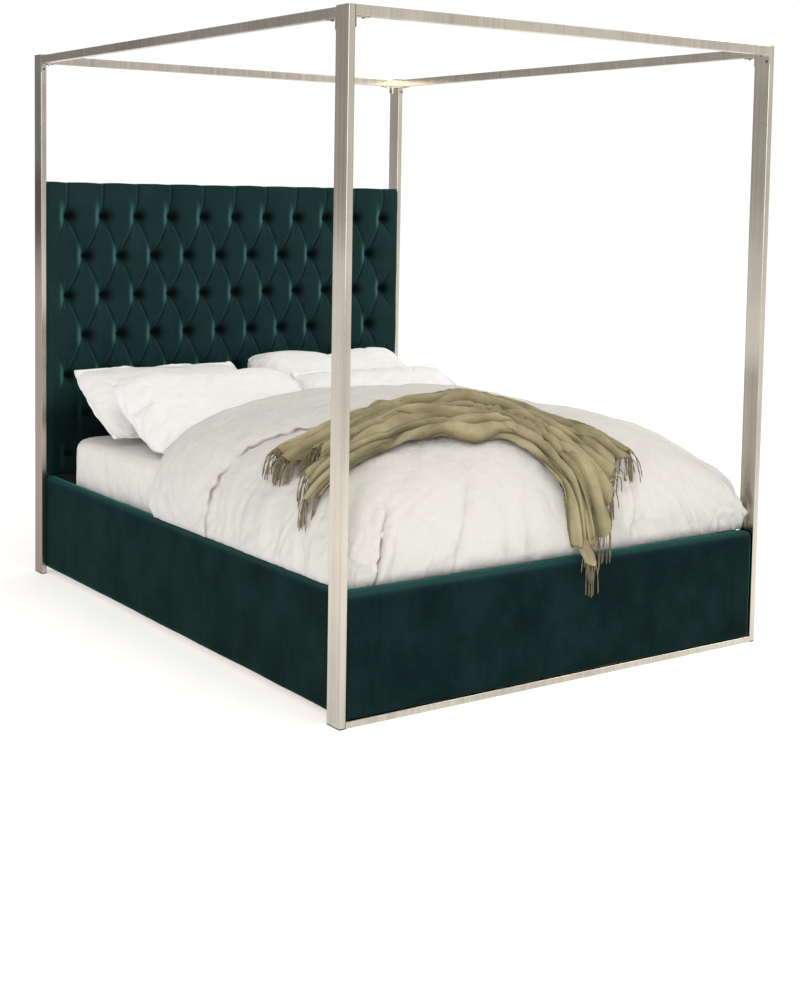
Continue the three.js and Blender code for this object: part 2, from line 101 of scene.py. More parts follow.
def makeStudio():
    scene = bpy.context.scene
    scene.view_settings.view_transform = "Standard"
    world = bpy.data.worlds.new("studio")
    scene.world = world
    world.use_nodes = True
    tree = world.node_tree
    tree.nodes.clear()
    start = Value(tree)
    place = start.node("ShaderNodeTexCoord", output="Generated")
    height = place.node("ShaderNodeSeparateXYZ", {}, {"Vector": place}, "Z")
    beyond = place.node("ShaderNodeSeparateXYZ", {}, {"Vector": place}, "Y")
    level = start.node("ShaderNodeMapRange", {}, {
        "Value": height, "From Min": -0.25, "From Max": 0.5,
        "To Min": studio["skySide"], "To Max": studio["skyTop"],
    })
    dim = start.node("ShaderNodeMapRange", {}, {
        "Value": beyond, "From Min": -0.6, "From Max": 0.9,
        "To Min": 1.15, "To Max": 1 - studio["skyBehind"]})
    shade = start.node("ShaderNodeMapRange", {}, {
        "Value": beyond, "From Min": 0.86, "From Max": 0.93, "To Min": 1.0, "To Max": studio["farShade"]})
    drift = noise(start.node("ShaderNodeMapping", {}, {"Vector": place, "Scale": (3, 3, 1)}), 1.6, 1.0)
    soft = start.node("ShaderNodeBackground", {}, {
        "Color": (*studio["sky"], 1), "Strength": level * dim * shade * (0.7 + 0.6 * drift)})
    plain = start.node("ShaderNodeBackground", {}, {"Color": (*studio["backdrop"], 1)})
    seen = start.node("ShaderNodeLightPath", output="Is Camera Ray")
    light = start.node("ShaderNodeMixShader", {}, {0: seen, 1: soft, 2: plain})
    out = tree.nodes.new("ShaderNodeOutputWorld")
    tree.links.new(light.socket, out.inputs["Surface"])

    for name, place, size, power in (
        ("keyLight", (3.3, -1.6, 3.6), 2.2, studio["key"]),
        ("fillLight", (-3.9, -4.4, 2.2), 2.6, studio["fill"]),
    ):
        bpy.ops.object.light_add(type="AREA", location=place)
        lamp = bpy.context.object
        lamp.name = name
        lamp.data.size = size
        lamp.data.energy = power
        lamp.data.color = (1, 0.97, 0.93)
        aim = Vector((0, 0, 0.5)) - Vector(place)
        lamp.rotation_mode = "QUATERNION"
        lamp.rotation_quaternion = aim.to_track_quat("-Z", "Y")

    bpy.ops.mesh.primitive_plane_add(size=60, location=(0, 0, -0.0005))
    floor = bpy.context.object
    floor.name = "floor"
    floor.data.materials.append(makePlain(
        "paleFloor", (3.0,), (0.88, 0.88, 0.88), (0.91, 0.91, 0.91), Roughness=0.85,
        Emission_Color=(1.0, 1.0, 1.0), Emission_Strength=studio["floorGlow"]))


class Value:
    def __init__(self, tree, socket=None):
        self.tree, self.socket = tree, socket

    def node(self, kind, settings=None, values=None, output=0):
        made = self.tree.nodes.new(kind)
        for key, value in (settings or {}).items():
            if key == "stops":
                ramp = made.color_ramp
                while len(ramp.elements) < len(value):
                    ramp.elements.new(0.5)
                for element, (place, colour) in zip(ramp.elements, value):
                    element.position, element.color = place, (*colour, 1)
            else:
                setattr(made, key, value)
        for key, value in (values or {}).items():
            if isinstance(value, Value):
                self.tree.links.new(value.socket, made.inputs[key])
            else:
                made.inputs[key].default_value = value
        return Value(self.tree, made.outputs[output])

    def math(self, operation, first, second=0.0):
        return self.node("ShaderNodeMath", {"operation": operation}, {0: first, 1: second})

    def __add__(self, other):
        return self.math("ADD", self, other)

    def __radd__(self, other):
        return self.math("ADD", other, self)

    def __sub__(self, other):
        return self.math("SUBTRACT", self, other)

    def __rsub__(self, other):
        return self.math("SUBTRACT", other, self)

    def __mul__(self, other):
        return self.math("MULTIPLY", self, other)

    def __rmul__(self, other):
        return self.math("MULTIPLY", other, self)


def newMaterial(name, **constants):
    made = bpy.data.materials.new(name)
    made.use_nodes = True
    shader = made.node_tree.nodes["Principled BSDF"]
    for key, value in constants.items():
        socket = key.replace("_", " ")
        shader.inputs[socket].default_value = (*value, 1) if isinstance(value, tuple) else value
    return made, Value(made.node_tree), shader


def feed(shader, **links):
    for key, value in links.items():
        value.tree.links.new(value.socket, shader.inputs[key.replace("_", " ")])


def objectPlace(start, scale=(1, 1, 1)):
    place = start.node("ShaderNodeTexCoord", output="Object")
    return start.node("ShaderNodeMapping", {}, {"Vector": place, "Scale": scale})


def noise(place, scale, detail=2.0, roughness=0.5):
    return place.node("ShaderNodeTexNoise", {}, {
        "Vector": place, "Scale": scale, "Detail": detail, "Roughness": roughness})


def attribute(start, name):
    return start.node("ShaderNodeAttribute", {"attribute_name": name}, output="Fac")


def stepAlong(place, axis, first, last, most=1.0):  # 0 at the first place on an axis, most at the last
    part = place.node("ShaderNodeSeparateXYZ", {}, {"Vector": place}, axis)
    return part.node("ShaderNodeMapRange", {}, {
        "Value": part, "From Min": first, "From Max": last, "To Max": most})


def mixColour(share, first, second):
    return share.node("ShaderNodeMix", {"data_type": "RGBA"},
                      {"Factor": share, 6: first, 7: (*second, 1)}, 2)


def ramp(value, *stops):
    return value.node("ShaderNodeValToRGB", {"stops": stops}, {"Fac": value})


def bump(height, distance, strength=1.0):
    return height.node("ShaderNodeBump", {}, {"Height": height, "Distance": distance, "Strength": strength})


finishes = {
    "velvetDark": (0.0036, 0.0106, 0.0110),
    "velvetLight": (0.0072, 0.0205, 0.0207),
    "velvetPaintedShade": (0.0010, 0.0026, 0.0028),  # painted shade in the dips, beside the buttons and creases and behind the mattress
    "velvetPaintedHighlight": (0.058, 0.172, 0.172),  # painted highlight where the pile faces the light
    "velvetSheen": (0.10, 0.66, 0.58),
    "wrinkle": 0.015,
    "pillowCotton": (0.89, 0.89, 0.885),
    "duvetCotton": (0.695, 0.685, 0.655),
    "cotton": (0.79, 0.775, 0.74),
    # painted shade colour for the duvet's seam grooves and turned-down edge
    "seam": (0.13, 0.095, 0.06),
    "woolDark": (0.20, 0.170, 0.090),
    "woolLight": (0.47, 0.415, 0.250),
    "paintedReflection": (0.20, 0.135, 0.115),  # painted dark reflection on the outer face of the left post at the head end
    "paintedReflectionShare": 0.85,
    "paintedReflectionTop": 1.50,
    # painted shade in the throw's fold valleys
    "woolPaintedShade": (0.022, 0.017, 0.007),
    "fringe": (0.24, 0.20, 0.125),
    "metal": (0.62, 0.57, 0.50),
}


def makeVelvet():
    made, start, shader = newMaterial(
        "tealVelvet", Sheen_Weight=0.75, Sheen_Roughness=0.22, Sheen_Tint=finishes["velvetSheen"],
        Specular_IOR_Level=0.02)
    place = objectPlace(start)
    cloud = noise(place, 6.0, 4.0, 0.6)
    streak = noise(objectPlace(start, (14, 14, 3)), 4.0, 3.0)
    fibre = noise(place, 900.0, 2.0)
    pile = ramp(cloud * 0.8 + streak * 0.2, (0.35, finishes["velvetDark"]), (0.65, finishes["velvetLight"]))
    # painted highlight from a point attribute
    colour = mixColour(attribute(start, "nap"), pile, finishes["velvetPaintedHighlight"])
    # painted shade from the dip attribute
    colour = mixColour(attribute(start, "dip"), colour, finishes["velvetPaintedShade"])
    feed(shader, Base_Color=colour, Roughness=0.70 + fibre * 0.2,
         Normal=bump(fibre * 0.5 + streak * 0.5, 0.0009))
    return made


def makePlain(name, tone, dark, light, grain=None, roughness=0.0, depth=0.0, **constants):
    made, start, shader = newMaterial(name, **constants)
    place = objectPlace(start)
    cloud = noise(place, *tone)
    fine = noise(place, *grain) if grain else cloud
    feed(shader, Base_Color=ramp(cloud, (0.3, dark), (0.7, light)))
    if roughness:
        feed(shader, Roughness=roughness + fine * 0.2)
    if depth:
        feed(shader, Normal=bump(fine, depth))
    return made


def makeMetal():
    made, start, shader = newMaterial("polishedMetal", Metallic=1.0)
    place = objectPlace(start)
    streak = noise(objectPlace(start, (90, 90, 0.8)), 1.0, 4.0)
    cloud = noise(place, 2.2, 3.0)
    tone = cloud * 0.6 + streak * 0.4
    warm = finishes["metal"]
    colour = ramp(tone, (0.34, tuple(c * 0.70 for c in warm)), (0.60, warm))
    # painted dark reflection: the outer face of the left post at the head end is mixed towards brown, fading
    # out above the headboard
    left = stepAlong(place, "X", cadBox[0][0] + 0.0025, cadBox[0][0] + 0.0005)
    head = stepAlong(place, "Y", cadBox[1][1] - 0.11, cadBox[1][1] - 0.06, finishes["paintedReflectionShare"])
    low = stepAlong(place, "Z", finishes["paintedReflectionTop"] + 0.12, finishes["paintedReflectionTop"])
    colour = mixColour(left * head * low, colour, finishes["paintedReflection"])
    feed(shader,
         Base_Color=colour,
         Roughness=0.10 + streak * 0.14,
         Normal=bump(noise(place, 5.0, 2.0), 0.0007))
    return made


def makeZinc():
    made, start, shader = newMaterial("platedSteel", Metallic=1.0)
    place = objectPlace(start)
    spangle = start.node("ShaderNodeTexVoronoi", {}, {"Vector": place, "Scale": 90.0}, "Distance")
    feed(shader,
         Base_Color=ramp(spangle, (0.0, (0.36, 0.36, 0.37)), (0.8, (0.55, 0.55, 0.56))),
         Roughness=0.35 + noise(place, 40.0) * 0.2, Normal=bump(spangle, 0.0002))
    return made


def makePine():
    made, start, shader = newMaterial("pine")
    place = objectPlace(start, (1.2, 14, 14))
    warp = noise(place, 1.6, 3.0)
    rings = start.node("ShaderNodeTexWave", {"wave_type": "RINGS", "rings_direction": "X"},
                       {"Vector": place, "Scale": 0.9, "Distortion": 3.5, "Detail": 3.0})
    grain = rings * 0.7 + warp * 0.3
    fibre = noise(objectPlace(start, (4, 400, 400)), 1.0)
    feed(shader,
         Base_Color=ramp(grain, (0.1, (0.52, 0.33, 0.16)), (0.9, (0.74, 0.55, 0.33))),
         Roughness=0.5 + fibre * 0.25, Normal=bump(fibre * 0.5 + rings * 0.5, 0.0004))
    return made


def makeTicking():
    made, start, shader = newMaterial("ticking", Sheen_Weight=0.1)
    place = objectPlace(start)
    stripe = start.node("ShaderNodeTexWave", {"wave_type": "BANDS", "bands_direction": "X"},
                        {"Vector": place, "Scale": 9.0})
    weave = noise(place, 800.0)
    feed(shader, Base_Color=ramp(stripe, (0.75, (0.78, 0.76, 0.72)), (0.85, (0.50, 0.53, 0.58))),
         Roughness=0.75 + weave * 0.2, Normal=bump(weave, 0.0004))
    return made


def makeCotton(name, tint, lineShaded=False):
    made, start, shader = newMaterial(name, Sheen_Weight=0.12, Sheen_Roughness=0.5, Specular_IOR_Level=0.2)
    place = objectPlace(start)
    cloud = noise(place, 7.0, 3.0)
    colour = ramp(cloud, (0.3, tuple(c * 0.965 for c in tint)), (0.7, tint))
    if lineShaded:  # painted shade along the seams' grooves and a painted shadow line under the turned-down edge
        colour = mixColour(attribute(start, "seam"), colour, finishes["seam"])
    thread = noise(place, 1100.0)
    crease = noise(place, 34.0, 3.0)
    uneven = noise(objectPlace(start, (1, 1, 0.6)), 9.0, 3.0, 0.45) - 0.5
    wrinkle = uneven.math("ABSOLUTE", uneven)
    feed(shader, Base_Color=colour, Roughness=0.78 + thread * 0.18,
         Normal=bump(thread * 0.06 + crease * 0.30 + wrinkle * 1.6, finishes["wrinkle"]))
    return made


def makeWool(name, dark, light):
    made, start, shader = newMaterial(name, Sheen_Weight=0.15, Sheen_Roughness=0.45,
                                      Sheen_Tint=(0.75, 0.70, 0.50), Specular_IOR_Level=0.15)
    place = objectPlace(start)
    heather = noise(place, 420.0, 3.0, 0.7)
    cloud = noise(place, 9.0, 3.0)
    twill = start.node("ShaderNodeTexWave", {"wave_type": "BANDS", "bands_direction": "DIAGONAL"},
                       {"Vector": place, "Scale": 260.0, "Distortion": 1.5})
    tone = heather * 0.45 + cloud * 0.55
    # painted shade in the fold valleys, from the dip attribute
    colour = mixColour(attribute(start, "dip"), ramp(tone, (0.33, dark), (0.62, light)),
                       finishes["woolPaintedShade"])
    feed(shader, Base_Color=colour, Roughness=0.8 + heather * 0.15,
         Normal=bump(twill * 0.5 + heather * 0.5, 0.0008))
    return made


def drop():
    if bpy.context.mode != "OBJECT":
        bpy.ops.object.mode_set(mode="OBJECT")
    bpy.ops.object.select_all(action="DESELECT")


def pick(piece):
    drop()
    piece.select_set(True)
    bpy.context.view_layer.objects.active = piece


def points(piece, what="co"):
    piece.data.update()
    found = np.empty(len(piece.data.vertices) * 3)
    piece.data.vertices.foreach_get(what, found)
    return found.reshape(-1, 3)


def setPoints(piece, places):
    piece.data.vertices.foreach_set("co", np.asarray(places, float).ravel())
    piece.data.update()


def mark(piece, name, values):  # a value on each point, which a material reads
    layer = piece.data.attributes.new(name, "FLOAT", "POINT")
    layer.data.foreach_set("value", np.asarray(values, np.float32))


def smooth(piece):
    pick(piece)
    bpy.ops.object.shade_smooth()


def modify(piece, kind, **settings):
    pick(piece)
    made = piece.modifiers.new(kind.lower(), kind)
    for key, value in settings.items():
        setattr(made, key, value)
    bpy.ops.object.modifier_apply(modifier=made.name)


def gridPiece(name, columns, rows, shape):
    drop()
    bpy.ops.mesh.primitive_grid_add(x_subdivisions=columns, y_subdivisions=rows, size=2)
    piece = bpy.context.object
    piece.name = name
    flat = points(piece)
    setPoints(piece, shape((flat[:, 0] + 1) / 2, (flat[:, 1] + 1) / 2))
    return piece


def tidyNormals(piece):
    pick(piece)
    bpy.ops.object.mode_set(mode="EDIT")
    bpy.ops.mesh.select_all(action="SELECT")
    bpy.ops.mesh.remove_doubles(threshold=0.00002)
    bpy.ops.mesh.normals_make_consistent(inside=False)
    bpy.ops.object.mode_set(mode="OBJECT")


def closeEdge(piece, rim=True):
    pick(piece)
    bpy.ops.object.mode_set(mode="EDIT")
    bpy.ops.mesh.select_mode(type="EDGE")
    bpy.ops.mesh.select_all(action="DESELECT")
    bpy.ops.mesh.select_non_manifold()
    if rim:
        bpy.ops.mesh.extrude_region_move(TRANSFORM_OT_translate={"value": (0, 0, 0)})
    bpy.ops.mesh.edge_face_add()
    bpy.ops.object.mode_set(mode="OBJECT")


def join(name, pieces):
    drop()
    for piece in pieces:
        piece.select_set(True)
    bpy.context.view_layer.objects.active = pieces[0]
    if len(pieces) > 1:
        bpy.ops.object.join()
    pieces[0].name = name
    pick(pieces[0])
    bpy.ops.object.transform_apply(location=True, rotation=True, scale=True)
    return pieces[0]


def finishPiece(piece, material):
    piece.data.materials.clear()
    piece.data.materials.append(material)
    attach(piece, "bed")
    return piece


def softNoise(x, y, seed=0):
    rng = np.random.default_rng(seed)
    table = rng.permutation(256)
    angle = rng.random(256) * 2 * math.pi
    grad = np.stack([np.cos(angle), np.sin(angle)], -1)
    xi, yi = np.floor(x).astype(int), np.floor(y).astype(int)
    xf, yf = x - xi, y - yi

    def corner(i, j):
        g = grad[table[(table[(xi + i) % 256] + yi + j) % 256]]
        return g[..., 0] * (xf - i) + g[..., 1] * (yf - j)

    u, v = (t * t * t * (t * (t * 6 - 15) + 10) for t in (xf, yf))
    low = corner(0, 0) * (1 - u) + corner(1, 0) * u
    high = corner(0, 1) * (1 - u) + corner(1, 1) * u
    return (low * (1 - v) + high * v) * 1.5


def folds(x, y, seed=0):  # rounded ridges with narrow valleys, 0 to 1
    return np.clip(np.abs(softNoise(x, y, seed)) * 1.6, 0, 1) ** 0.8


def ease(t):
    t = np.clip(t, 0, 1)
    return t * t * (3 - 2 * t)


panel = {
    "voxel": 0.008,
    "soften": 9,
    "wave": 0.0018,
    "ripple": 0.0005,
    "nap": 0.24,  # how light the painted highlight along the top edge is
}


def upholster(name, seed):
    source = nodes[name]
    drop()
    piece = source.copy()
    piece.data = source.data.copy()
    for key in list(piece.keys()):
        del piece[key]
    piece.parent = None
    piece.hide_render = piece.hide_viewport = False
    bpy.context.scene.collection.objects.link(piece)
    piece.name = name + "_cover"
    pick(piece)
    tidyNormals(piece)
    modify(piece, "REMESH", mode="VOXEL", voxel_size=panel["voxel"])
    modify(piece, "SMOOTH", factor=0.5, iterations=panel["soften"])
    place, out = points(piece), points(piece, "normal")
    along = place[:, 0] + place[:, 1]
    push = (panel["wave"] * softNoise(along * 3.1, place[:, 2] * 4 + place[:, 0], seed)
            + panel["ripple"] * softNoise(along * 14, place[:, 2] * 11, seed + 1))
    setPoints(piece, place + out * push[:, None])
    # painted highlight on the parts that face up
    mark(piece, "nap", panel["nap"] * ease(out[:, 2] / 0.8))
    smooth(piece)
    return piece


def makePanels(velvet):
    for seed, name in enumerate(("footboard_upholstery", "side_rail_upholstery_left",
                                 "side_rail_upholstery_right")):
        piece = finishPiece(upholster(name, 10 + seed), velvet)
        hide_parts(name)


tuft = {
    "columns": 11,  # buttons in the odd rows
    "pitch": 0.147,
    "rowHeight": 0.154,
    "firstRow": 0.130,  # below the top edge
    "rows": 7,
    "depth": 0.034,
    "crown": 0.24,  # share of the depth between a diamond's middle and its edge
    "fold": 0.19,  # share of the depth of the fold line itself
    "foldWidth": 0.07,
    "funnel": 0.030,  # radius of the dip round a button
    "footShade": 0.65,  # how dark the painted shade behind the mattress is
    "shadeTop": 0.74,  # where that shade begins
    "nap": 0.08,  # painted lightening over the whole pad
    "creaseDark": 0.60,  # painted shade right of each crease
    "creaseLight": 0.17,  # painted highlight left of each crease
    "button": 0.0115,
    "buttonThick": 0.006,
    "buttonShade": 0.93,
    "round": 0.020,  # rounding of the pad's edge
    "step": 0.0052,
}


def tuftDip(x, z, top):
    across = x / tuft["pitch"]  # whole numbers at the odd rows' buttons
    down = (top - tuft["firstRow"] - z) / tuft["rowHeight"]
    last, outer = tuft["rows"] - 1, (tuft["columns"] - 1) / 2
    crownShare, foldShare = tuft["crown"], tuft["fold"]
    nearA = np.abs(np.sin(np.pi * (down / 2 + across)))
    nearB = np.abs(np.sin(np.pi * (down / 2 - across)))
    crease = np.exp(-np.minimum(nearA, nearB) / tuft["foldWidth"])
    diamonds = crownShare * (1 - (nearA * nearB) ** 0.70) + foldShare * crease
    diamonds *= ease((down + 0.25) / 0.25) * ease((last + 0.25 - down) / 0.25)
    diamonds *= ease((outer + 0.30 - np.abs(across)) / 0.30)
    # upright pleats from the first row over the top edge
    near = np.abs(np.sin(np.pi * across))
    above = np.clip(-down, 0, 9)
    pleats = ((crownShare * np.exp(-above / 0.45) + 0.05) * (1 - near ** 0.6)
              + foldShare * (0.5 + 0.5 * np.exp(-above / 0.3)) * np.exp(-near / 0.13))
    pleats *= ease((0.10 - down) / 0.30) * ease((outer + 0.30 - np.abs(across)) / 0.30)
    # a dip round each button
    row = np.clip(np.round(down), 0, last)
    odd = row % 2
    column = np.clip(np.round(across - odd / 2), -outer, outer - odd) + odd / 2
    far = np.hypot((across - column) * tuft["pitch"], (down - row) * tuft["rowHeight"] * 0.8)
    funnel = np.exp(-(far / tuft["funnel"]) ** 1.35)
    total = np.maximum(diamonds, pleats) * (1 - funnel) + funnel
    # painted shade right of each button and crease, and painted highlight left of it
    beside, over = (across - column) * tuft["pitch"], (down - row) * tuft["rowHeight"]
    fade = np.clip(np.maximum(diamonds, pleats) / 0.10, 0, 1)
    lines = [across - down / 2, across + down / 2]
    dark = np.exp(-(((beside - 0.013) / 0.026) ** 2 + (over / 0.028) ** 2) ** 1.2)
    light = 1.05 * np.exp(-((beside + 0.018 + 3 * over ** 2) / 0.0105) ** 2 - (over / 0.036) ** 2)
    for line in lines + [across]:
        part = np.mod(line + 0.5, 1) - 0.5
        keep = fade * (down < 0.05) if line is across else fade * (down > -0.05)
        dark = np.maximum(dark, tuft["creaseDark"] * keep * np.exp(-((part - 0.010) / 0.030) ** 2))
        light = np.maximum(light, tuft["creaseLight"] * keep * np.exp(-((part + 0.040) / 0.024) ** 2))
    # painted shade on the pad's lower part, behind the mattress
    dark = np.maximum(dark, tuft["footShade"] * ease((tuft["shadeTop"] - z) / 0.14))
    return total, np.clip(dark, 0, 1), np.clip(light * (1 - 0.5 * dark) + tuft["nap"], 0, 1)


def wrapPlan(u, v, reach, inner):  # each grid point's plan, its part past the inner block, and which way
    plan = (2 * np.stack([u, v]) - 1) * np.array(reach)[:, None]
    block = np.clip(plan, -np.array(inner)[:, None], np.array(inner)[:, None])
    past = plan - block
    far = np.abs(past).max(0)
    return plan, block, past, far, past / np.maximum(np.hypot(*past), 1e-9)


def makeHeadboard(velvet):
    low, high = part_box("headboard_pad")
    top = high.z
    front, back = low.y, high.y
    edge = tuft["round"]
    halfWide, halfTall = (high.x - low.x) / 2, (high.z - low.z) / 2
    middle = Vector(((high.x + low.x) / 2, 0, (high.z + low.z) / 2))
    arc = edge * math.pi / 2
    side = (back - front) - edge
    reachX, reachZ = halfWide - edge + arc + side, halfTall - edge + arc + side

    def shape(u, v):
        inner = (halfWide - edge, halfTall - edge)
        _, (inX, inZ), _, far, (dx, dz) = wrapPlan(u, v, (reachX, reachZ), inner)
        turn = np.clip(far / edge, 0, math.pi / 2)
        out = edge * np.sin(turn)
        deep = edge * (1 - np.cos(turn)) + np.clip(far - arc, 0, side)
        x, z = inX + dx * out + middle.x, inZ + dz * out + middle.z
        normal = np.stack([dx * np.sin(turn), -np.cos(turn), dz * np.sin(turn)], -1)
        wave = softNoise(x * 5, z * 5, 3) * 0.0012 + softNoise(x * 22, z * 15, 4) * 0.0006
        dip, dark, light = tuftDip(x, z, top)
        paintedShadeAndHighlight.extend([dark, light])
        place = np.stack([x, front + deep, z], -1)
        return place - normal * (tuft["depth"] * dip - wave)[:, None]

    paintedShadeAndHighlight = []
    columns, rows = int(2 * reachX / tuft["step"]), int(2 * reachZ / tuft["step"])
    piece = gridPiece("headboard_tufted_pad", columns, rows, shape)
    # painted shade and painted highlight, kept as point attributes
    mark(piece, "dip", paintedShadeAndHighlight[0])
    mark(piece, "nap", paintedShadeAndHighlight[1])
    closeEdge(piece)
    tidyNormals(piece)
    smooth(piece)
    finishPiece(piece, velvet)
    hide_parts("headboard_pad")

    drop()
    bpy.ops.mesh.primitive_uv_sphere_add(segments=14, ring_count=8, radius=tuft["button"])
    first = bpy.context.object
    first.scale = (1, tuft["buttonThick"] / tuft["button"], 1)
    pick(first)
    bpy.ops.object.transform_apply(location=False, rotation=False, scale=True)
    made = []
    for row in range(tuft["rows"]):
        count = tuft["columns"] - row % 2
        for column in range(count):
            one = first.copy()
            one.data = first.data.copy()
            one.location = ((column - (count - 1) / 2) * tuft["pitch"], front + tuft["depth"] + 0.0005,
                            top - tuft["firstRow"] - row * tuft["rowHeight"])
            bpy.context.scene.collection.objects.link(one)
            made.append(one)
    bpy.data.objects.remove(first)
    joined = join("headboard_buttons", made)
    # painted shade: the buttons are darkened to the shade of the dips
    mark(joined, "dip", np.full(len(joined.data.vertices), tuft["buttonShade"]))
    smooth(joined)
    finishPiece(joined, velvet)


sheetValues = {
    "out": 0.0016,
    "hem": 0.302,  # its height above the floor
    "round": 0.034,
    "corner": 0.09,
    "step": 0.010,
    "thick": 0.0012,
    "dart": 0.35,  # share of each corner's square taken off in an area sum whose result is not used; nothing is cut away
}


def makeSheet(cotton):
    low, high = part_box("mattress")
    gap = sheetValues["out"]
    halfX, halfY = (high.x - low.x) / 2 + gap, (high.y - low.y) / 2 + gap
    midY = (high.y + low.y) / 2
    top = high.z + gap
    corner, edge = sheetValues["corner"], sheetValues["round"]
    flat = corner - edge
    arc = edge * math.pi / 2
    hang = top - edge - sheetValues["hem"]
    reachX, reachY = halfX - corner + flat + arc + hang, halfY - corner + flat + arc + hang

    def shape(u, v):
        (px, py), (inX, inY), (qx, qy), far, (dx, dy) = wrapPlan(
            u, v, (reachX, reachY), (halfX - corner, halfY - corner))
        bend = np.clip((far - flat) / edge, 0, math.pi / 2)
        out = np.minimum(far, flat) + edge * np.sin(bend)
        down = edge * (1 - np.cos(bend)) + np.clip(far - flat - arc, 0, hang)
        x, y, z = inX + dx * out, inY + dy * out + midY, top - down
        normal = np.stack([dx * np.sin(bend), dy * np.sin(bend), np.cos(bend)], -1)
        skirt = np.clip((far - flat) / (arc + hang), 0, 1)
        along = np.where(np.abs(qx) > np.abs(qy), py, px)
        pull = folds(along * 9 + softNoise(along * 3, far * 6, 21), far * 3.5, 22) * skirt * 0.006
        lie = softNoise(px * 4, py * 4, 23) * 0.002 + folds(px * 3 + py * 2.4, py * 5 - px * 2, 24) * 0.0035
        return np.stack([x, y, z], -1) + normal * np.maximum(0, pull + np.abs(lie))[:, None]

    piece = gridPiece("fitted_sheet_cloth", int(2 * reachX / sheetValues["step"]),
                      int(2 * reachY / sheetValues["step"]), shape)
    modify(piece, "SOLIDIFY", thickness=sheetValues["thick"], offset=1)
    tidyNormals(piece)
    smooth(piece)
    finishPiece(piece, cotton)
    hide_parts("fitted_sheet")
    wide, long = 2 * reachX, 2 * reachY
    cut = corner + arc + hang
    wide * long - 4 * sheetValues["dart"] * cut * cut


duvet = {
    "rise": 0.55,  # length over which it climbs from the foot
    "roll": 0.13,  # the same at the head end
    "power": 3,
    "columns": 350,
    "rows": 262,
    "sidePull": 0.130,  # how much nearer the foot its left head corner lies
    "turnDown": 0.020,  # thickness step of the part folded back
    "turnRow": 0.66,  # share of the rows up to its edge
    "footFolds": 0.025,
    "sideFolds": 0.016,
    "cornerFolds": 0.022,
    "railFolds": 0.020,
    "bulge": 0.034,  # at both sides of the head end
    "seamDepth": 0.014,
    "pucker": 0.013,
}


def duvetDome():
    low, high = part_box("duvet")
    base, top = low.z, high.z
    half = high.x
    foot = low.y
    headRight = high.y
    roll, rise, power = duvet["roll"], duvet["rise"], duvet["power"]

    def superRound(t):
        return np.maximum(0, 1 - np.abs(t) ** power) ** (1 / power)

    def both(a, b):
        return np.where(a * b > 0, a * b / np.maximum(a + b - a * b, 1e-9), 0)

    def headEnd(x):
        return headRight + duvet["sidePull"] * np.minimum(0, x) / half

    def height(x, y):
        toFoot = np.clip((foot + rise - y) / rise, 0, 1)
        toHead = np.clip((y - headEnd(x) + roll) / roll, 0, 1)
        full = both(superRound(x / half), both(superRound(toFoot), superRound(toHead)))
        return base + (top - base - 0.001) * full

    return {"height": height, "headEnd": headEnd, "half": half, "foot": foot, "base": base, "top": top}


def easeRound(t):
    return np.sign(t) * np.abs(np.sin(t * np.pi / 2)) ** (2 / duvet["power"])


def lineFar(x, y, line):  # distance from each point to a polyline, and the place along it
    best = np.full(x.shape, 9.0)
    at = np.zeros(x.shape)
    done = 0.0
    for (ax, ay), (bx, by) in zip(line, line[1:]):
        dx, dy = bx - ax, by - ay
        size = math.hypot(dx, dy)
        t = np.clip(((x - ax) * dx + (y - ay) * dy) / size ** 2, 0, 1)
        far = np.hypot(x - ax - t * dx, y - ay - t * dy)
        at = np.where(far < best, done + t * size, at)
        best = np.minimum(best, far)
        done += size
    return best, at


def rampUp(t):  # slow at 0, where the surface is steep, and even further on
    return 0.45 * t ** 3 + 0.55 * t ** 1.6


